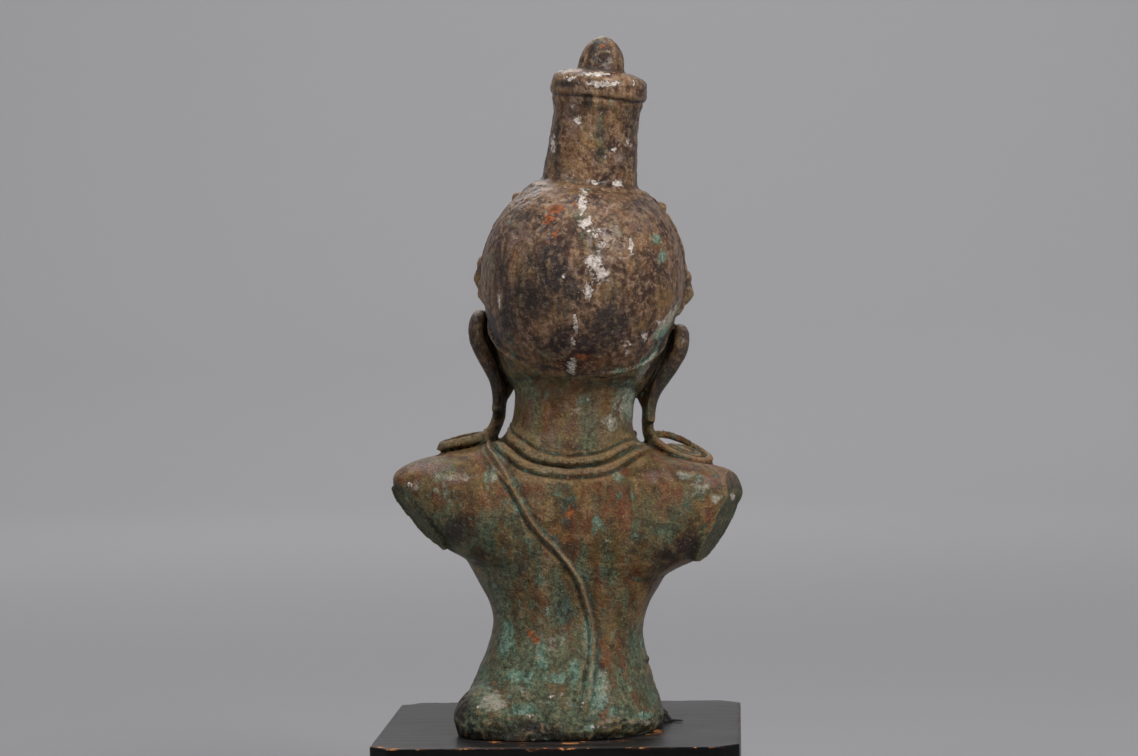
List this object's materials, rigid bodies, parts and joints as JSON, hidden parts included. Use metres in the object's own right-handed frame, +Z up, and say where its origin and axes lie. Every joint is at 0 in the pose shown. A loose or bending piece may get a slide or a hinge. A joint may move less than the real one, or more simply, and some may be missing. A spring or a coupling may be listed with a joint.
{
  "type": "bronze buddha bust",
  "caption": "Weathered cast bronze buddha bust, armless and broken off at the hips, standing on a black lacquered wooden plinth.",
  "frame": {"origin": "middle of the plinth's underside", "axes": "+Z up, the figure faces -Y and its back is at +Y, +X is the figure's left"},
  "size_m": [0.1933, 0.19, 0.4251],
  "materials": {
    "bronze": "old cast bronze, dark brown with green verdigris, lime flakes and rust spots",
    "lacquer": "thin black lacquer over wood, satin, rubbed to orange-brown wood on the edges"
  },
  "bodies": {
    "root": {"bust": "bronze", "plinth": "lacquer"}
  },
  "joints": []
}
